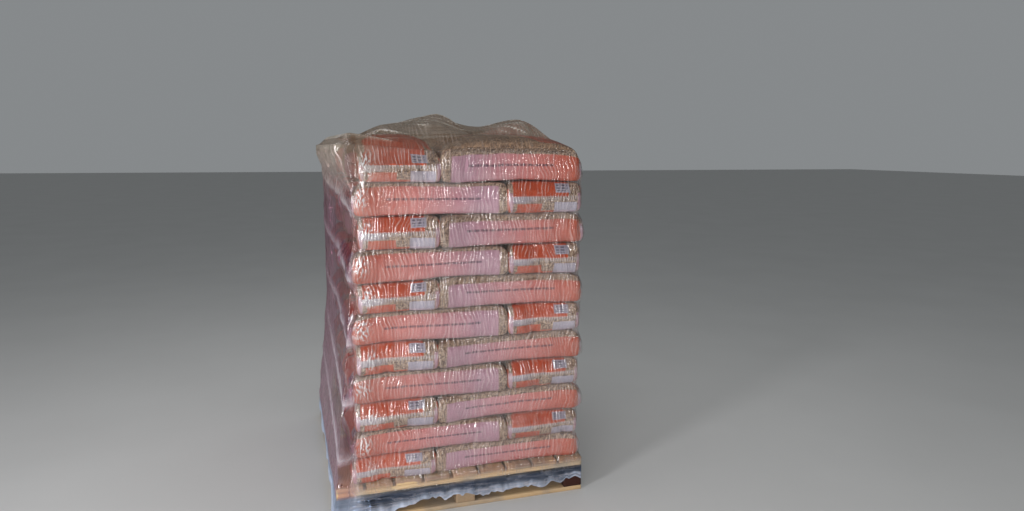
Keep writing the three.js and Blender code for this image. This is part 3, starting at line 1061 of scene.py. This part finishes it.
def hood_plan():
    """A grid over the load with round corners, the ring of its outermost points, and their way outwards."""
    x, y = np.meshgrid(
        np.linspace(-stack_half[0], stack_half[0], HOOD_ACROSS + 1),
        np.linspace(-stack_half[1], stack_half[1], HOOD_ALONG + 1),
        indexing="ij",
    )
    plan = rounded_plan(np.stack([x, y], -1), stack_half[:2], HOOD_CORNER)
    index = np.arange(x.size).reshape(x.shape)
    ring = np.concatenate([index[:-1, 0], index[-1, :-1], index[:0:-1, -1], index[0, :0:-1]])
    edge = plan.reshape(-1, 2)[ring]
    near = np.clip(edge, HOOD_CORNER - stack_half[:2], stack_half[:2] - HOOD_CORNER)
    out = (edge - near) / np.linalg.norm(edge - near, axis=1, keepdims=True)
    return plan, index, ring, edge, out


def hood_walls(surface, edge, out, around):
    """The hood's sides from the deck to the rim, as ring by row, and how far they stand off the load."""
    left = smooth_step(-edge[:, :1], 0, stack_half[0])
    facing_left = smooth_step(-out[:, :1], 0.3, 0.9)
    behind = smooth_step(edge[:, 1:], -stack_half[1], 0.6 * stack_half[1])
    rim = shoulder - RIM_DROP + 0.6 * LEFT_PUFF * left
    z = SKIRT_TOP + (rim - SKIRT_TOP) * np.linspace(0, 1, WALL_ROWS)
    base = np.zeros((*z.shape, 3))
    base[..., :2] = (edge + stack_middle[:2])[:, None]
    base[..., 2] = z
    outward = np.broadcast_to(np.column_stack([out, np.zeros(len(out))])[:, None], base.shape)
    starts = (base + RAY_START * outward).reshape(-1, 3)
    met = reach_of(surface, starts, -outward.reshape(-1, 3), 2 * RAY_START).reshape(z.shape)
    least = RAY_START - met + HOOD_GAP
    close = relaxed(np.maximum(least, -DEEPEST), least, *FILM_PULL, CLOSE_ROUNDS)
    cling = CLING * (1 - facing_left)
    shape = cling * close + (1 - cling) * relaxed(close, least, *FILM_PULL, TAUT_ROUNDS)

    # The left side hangs slack: puffed at the top, in taut bands below, and leaning in from the deck's edge.
    puff = (0.7 * LEFT_PUFF + PULLED_IN) * smooth_step(z, shoulder - PUFF_DEPTH, shoulder) * facing_left
    bands = BAND_DEPTH * left_bands(base[..., 1], z)
    slack = (np.maximum(puff, PULLED_IN * behind) + bands) * facing_left - PULLED_IN
    on_deck = least[:, :3].max(1, keepdims=True)
    leaning = facing_left * (on_deck + PULLED_IN - FOOT_LEAN * (z - SKIRT_TOP)) - PULLED_IN
    shape = np.maximum(shape, np.maximum(slack, leaning))
    share = (z - SKIRT_TOP) / (rim - SKIRT_TOP)
    ends = smooth_step(share, 0, 0.04) * smooth_step(1 - share, 0, 0.03)
    hanging = smooth_step(z, shoulder - 0.4, shoulder - 0.1) * facing_left
    pulled = DRAPE_DEPTH * hanging * (0.5 - np.abs(noise_at((around + 0.5 * z) * 24, z * 3, 7)))
    shape = shape + (film_folds(around, z, out) + FOLD_LIFT + pulled) * ends
    return base + outward * shape[..., None], shape - least


def hood_skirt(foot, edge, out, around):
    """The loose skirt, from its torn hem up to the foot of the walls, as ring by row."""
    drop = np.linspace(1, 0, SKIRT_ROWS, endpoint=False)
    corner = np.prod(hump(edge + stack_half[:2], CORNER_SPAN), axis=1, keepdims=True)
    hem = HEM_HEIGHT - HEM_DROP * corner
    for depth, pitch in HEM_TEARS:
        hem = hem + depth * noise_at(around * pitch, 0, 22)
    wave = noise_at(around * 13, drop * 0.7, 23)
    flare = drop * (HEM_FLARE + CORNER_FLARE * corner) + HEM_WAVE * wave * np.sqrt(drop)
    skirt = np.zeros((len(out), SKIRT_ROWS, 3))
    skirt[..., :2] = foot[:, None, :2] + out[:, None] * np.maximum(flare, LEAST_FLARE)[..., None]
    skirt[..., 2] = SKIRT_TOP + (hem - SKIRT_TOP) * drop
    return skirt


def neighbours(grid):
    """The mean of the four neighbours of each inner point of a grid."""
    return (grid[:-2, 1:-1] + grid[2:, 1:-1] + grid[1:-1, :-2] + grid[1:-1, 2:]) / 4


def hood_roof(surface, plan, ring, rim):
    """The hood's top inside its rim, a smooth sheet with loose folds laid on it, and where it is creased."""
    offset = np.zeros((*plan.shape[:2], 3))
    edge = plan.reshape(-1, 2)[ring] + stack_middle[:2]
    offset.reshape(-1, 3)[ring] = rim - np.column_stack([edge, 0 * ring])
    offset[1:-1, 1:-1, 2] = rim[:, 2].mean()
    for _ in range(ROOF_ROUNDS):
        offset[1:-1, 1:-1] = neighbours(offset)
    roof = offset.copy()
    roof[..., :2] += plan + stack_middle[:2]
    roof[..., 2] += roof_lift(plan[..., 0], plan[..., 1])
    inner = roof[1:-1, 1:-1].reshape(-1, 3)
    above = np.column_stack([inner[:, :2], np.full(len(inner), stack_high[2] + RAY_START)])
    down = np.tile([0.0, 0, -1], (len(above), 1))
    load_top = above[:, 2] - reach_of(surface, above, down, 2 * RAY_START)
    inner[:, 2] = np.maximum(inner[:, 2], load_top + HOOD_GAP)
    roof[1:-1, 1:-1] = inner.reshape(roof[1:-1, 1:-1].shape)
    bend = inner[:, 2] - neighbours(roof[..., 2]).ravel()
    broken = 0.4 + 0.6 * smooth_step(noise_at(*inner[:, :2].T * 12, 26), -0.4, 0.3)
    loose = smooth_step(inner[:, 2] - load_top, 0.004, 0.02)
    return inner, smooth_step(bend, 0.0001, 0.0006) * loose * broken


def coloured(shape, plain, *casts):
    """A colour for each point of a grid: plain, with each (share, colour) laid over it."""
    total = np.broadcast_to(plain, (*shape, 3))
    for share, colour in casts:
        total = total + (np.broadcast_to(share, shape) * 1.0)[..., None] * (np.array(colour) - total)
    return total.reshape(-1, 3)


def film_attributes(sides, inner, edge, out, around, gap, fold):
    """What the film's material reads at each point: first of the sides, ring by row, then of the roof."""
    z = sides[..., 2]
    rows = np.arange(sides.shape[1])
    row = row_at(z)
    end_on_row = row // 1 % 2 == 0
    in_row = row % 1
    low = smooth_step(-z, -SKIRT_TOP, 0.015 - SKIRT_TOP)
    hem = smooth_step(-rows / SKIRT_ROWS, -0.6, -0.15) * (0.75 + 0.5 * noise_at(around * 11, rows * 0.4, 24))
    facing_left = smooth_step(-out[:, :1], 0.4, 0.9)
    foot = smooth_step(-out[:, :1], 0.85, 0.98) * smooth_step(-z, -0.5, -0.2)
    loose = smooth_step(-edge[:, :1], 0.2 * stack_half[0], stack_half[0])
    loose = loose * smooth_step(z, shoulder - 0.3, shoulder)
    bands = facing_left * left_bands(sides[..., 1], z)
    near_front = smooth_step(-edge[:, 1:], -0.1 * stack_half[1], 0.4 * stack_half[1])
    corner_sack = facing_left * near_front * end_on_row * (1 - np.minimum(bands, 1))
    deck_edge = (1 - facing_left) * hump(z - DECK_EDGE, 0.008)
    gathered = hump(out[:, :1] + 0.6, 0.3) * (out[:, 1:] < 0) * smooth_step(-z, -0.2, -0.11)

    # How milky it is, and how strong its wrinkles are.
    rim = smooth_step(z, shoulder - 0.03, shoulder)
    # The haze along the left bands is a painted highlight where light catches them.
    haze = WALL_HAZE + 0.06 * facing_left + 0.4 * bands + 0.55 * hem - 0.04 * corner_sack
    haze = haze + 0.06 * deck_edge + 0.04 * rim + 0.14 * loose + 0.3 * gathered + 0.16 * foot
    # The wrinkles, and the painted highlights on their crests, are strongest in the upper part of each row,
    # where light from above catches them.
    creased = (0.65 + 0.5 * hump(in_row - 0.75, 0.25)) * (1 - 0.7 * facing_left * (1 - loose))
    creased = creased * (1 - 0.4 * low)

    # Painted glints whiten the film at the corners, most at the front left one, where it touches the middle
    # of a sack; the film there also mirrors more.
    touching = np.ones_like(z)
    touching[:, SKIRT_ROWS:] = hump(gap, GLINT_GAP)
    from_left = edge[:, :1] + stack_half[0] - 0.8 * LEFT_SPREAD * end_on_row
    front_left = hump(from_left - CORNER_REACH, CORNER_WIDTH) * (out[:, 1:] < -0.3)
    corner = front_left + 0.3 * (2 * out[:, :1] * out[:, 1:]) ** 2
    glint_spots = corner * touching * hump(in_row - 0.55, 0.32) * (1 - low)

    # Its tint, its cloud and where its patterns lie, and the same of the roof.
    # The tint paints shade on the left side, at its foot and over the skirt, and lifts to painted light near
    # the front left corner.
    casts = [(facing_left, SIDE_SHADE_TINT), (corner_sack, CORNER_LIGHT_TINT), (foot, FOOT_SHADE_TINT), (deck_edge, DECK_TINT)]
    casts += [(loose, TOP_TINT), (low, SKIRT_SHADE_TINT), (hem, HEM_TINT)]
    tint = coloured(z.shape, WALL_TINT, *casts)
    # The cloud paints the same shade on the left side, highlights along its bands, and a light-blue sheen on
    # the skirt.
    casts = [(facing_left, SIDE_SHADE_CLOUD), (np.minimum(bands, 1), BAND_HIGHLIGHT_CLOUD)]
    casts += [(loose, TOP_CLOUD), (low, SKIRT_SHEEN_CLOUD)]
    cloud = coloured(z.shape, WALL_CLOUD, *casts)
    place = np.stack([np.broadcast_to(around, z.shape), z, np.zeros_like(z)], -1).reshape(-1, 3)
    roof_place = inner[:, :2] @ [[1, 0, 0], [0, 0.5, 0]] + (5, 0, 0)
    # Painted highlights whiten the roof along its sharpest folds: more haze there, and glints in broken
    # patches.
    roof_glint = fold * smooth_step(noise_at(*inner[:, :2].T * 9, 25), -0.2, 0.5)
    pairs = {
        "place": (place, roof_place),
        "tint": (tint, np.tile(TOP_TINT, (len(inner), 1))),
        "cloud": (cloud, np.tile(TOP_CLOUD, (len(inner), 1))),
        "haze": (haze.ravel(), ROOF_HAZE + 0.5 * fold),
        "skirt": (low.ravel(), np.zeros(len(inner))),
        "creased": (creased.ravel(), np.full(len(inner), ROOF_CREASED)),
        "glint_spots": (glint_spots.ravel(), roof_glint),
    }
    return {f"film_{key}": np.concatenate(pair) for key, pair in pairs.items()}


def stretch_hood():
    plan, index, ring, edge, out = hood_plan()
    around = np.cumsum(np.linalg.norm(edge - np.roll(edge, 1, 0), axis=1))[:, None]
    surface = load_surface()
    walls, gap = hood_walls(surface, edge, out, around)
    sides = np.concatenate([hood_skirt(walls[:, 0], edge, out, around), walls], axis=1)
    inner, fold = hood_roof(surface, plan, ring, sides[:, -1])

    wall_index = np.arange(sides[..., 0].size).reshape(sides.shape[:2])
    roof_index = np.zeros(index.size, int)
    roof_index[ring] = wall_index[:, -1]
    roof_index[index[1:-1, 1:-1].ravel()] = wall_index.size + np.arange(len(inner))
    closed = np.concatenate([wall_index, wall_index[:1]])
    quads = np.concatenate([grid_quads(closed), grid_quads(roof_index.reshape(index.shape))])
    attributes = film_attributes(sides, inner, edge, out, around, gap, fold)
    points = np.concatenate([sides.reshape(-1, 3), inner])
    return mesh_object("clear_stretch_hood", points, quads, film_material(), attributes)


hood = stretch_hood()
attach(hood, "root")
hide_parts("stretch_hood")


# Studio: a plain pale floor and soft light, seen from where the photograph was taken.
CAMERA_PLACE = Vector((-0.649, -3.185, 1.418))
CAMERA_YAW, CAMERA_PITCH, CAMERA_ROLL = (math.radians(a) for a in (17.96, 8.59, 0.30))
FOCAL_PIXELS = 710
IMAGE_WIDTH = 1024
SENSOR_WIDTH = 36
FLOOR_REACH = 40
FLOOR_TONES = (0.56, 0.56, 0.55, 1), (0.62, 0.62, 0.61, 1)
BACKDROP_GREY = (0.6, 0.63, 0.65, 1)
BACKDROP_GLOW = 0.4
GLOSS_GLOW = 0.05


def photograph_camera():
    camera = bpy.data.cameras.new("camera")
    camera.sensor_width = SENSOR_WIDTH
    camera.lens = FOCAL_PIXELS / IMAGE_WIDTH * SENSOR_WIDTH
    camera.clip_start, camera.clip_end = 0.05, 60
    made = bpy.data.objects.new("camera", camera)
    turn = Matrix.Rotation(-CAMERA_YAW, 4, "Z") @ Matrix.Rotation(math.pi / 2 - CAMERA_PITCH, 4, "X")
    made.matrix_world = Matrix.Translation(CAMERA_PLACE) @ turn @ Matrix.Rotation(CAMERA_ROLL, 4, "Z")
    bpy.context.scene.collection.objects.link(made)
    bpy.context.scene.camera = made


def soft_light(name, place, target, size, power, colour=(1, 1, 1), mirrored=True, lighting=True):
    """A rectangular lamp, which may only light the object, or only show in its gloss as a white card does."""
    light = bpy.data.lights.new(name, "AREA")
    light.shape = "RECTANGLE"
    light.size, light.size_y = size
    light.energy = power
    light.color = colour
    made = bpy.data.objects.new(name, light)
    made.visible_glossy = mirrored
    made.visible_diffuse = lighting
    made.location = place
    made.rotation_euler = (Vector(target) - Vector(place)).to_track_quat("-Z", "Y").to_euler()
    bpy.context.scene.collection.objects.link(made)


def pale_floor():
    material, tree = new_material("pale_floor")
    place = node(tree, "ShaderNodeTexCoord")["Object"]
    colour = blend_colour(noise(place, 1.5, 5), *FLOOR_TONES)
    principled_surface(tree, {"Base Color": colour, "Roughness": 0.7})
    corners = FLOOR_REACH * np.array([[-1, -1, 0], [1, -1, 0], [1, 1, 0], [-1, 1, 0]], float)
    floor = mesh_object("floor", corners, np.array([[0, 1, 2, 3]]), material)


photograph_camera()
pale_floor()
soft_light("window_light", (-3.3, -2.6, 1.8), (-0.3, -0.5, 0.8), (0.6, 3.0), 84, (0.98, 0.97, 1))
soft_light("left_card", (-3.0, -2.7, 1.3), (-0.4, -0.6, 0.8), (2.2, 2.4), 39, lighting=False)
soft_light("strip_light", (-0.7, -4.6, 1.3), (-0.1, -0.6, 0.8), (0.12, 2.2), 16, (1, 0.98, 0.97))
soft_light("front_light", (-1.6, -3.9, 1.15), (-0.1, -0.6, 0.5), (2, 2), 60, (1, 0.97, 0.95), mirrored=False)
soft_light("fill_light", (1.2, -4.5, 1.2), (0, 0, 0.4), (2.4, 1.6), 25, (1, 0.98, 0.97), mirrored=False)
soft_light("overhead_light", (0, 0.5, 4.0), (0, 0, 0), (3, 3), 31, mirrored=False)
world = bpy.data.worlds.new("studio")
world.use_nodes = True
backdrop = world.node_tree.nodes["Background"]
backdrop.inputs["Color"].default_value = BACKDROP_GREY
in_gloss = node(world.node_tree, "ShaderNodeLightPath")["Is Glossy Ray"]
strength = in_gloss * (GLOSS_GLOW - BACKDROP_GLOW) + BACKDROP_GLOW
world.node_tree.links.new(strength.socket, backdrop.inputs["Strength"])
bpy.context.scene.view_settings.view_transform = "Standard"
bpy.context.scene.world = world
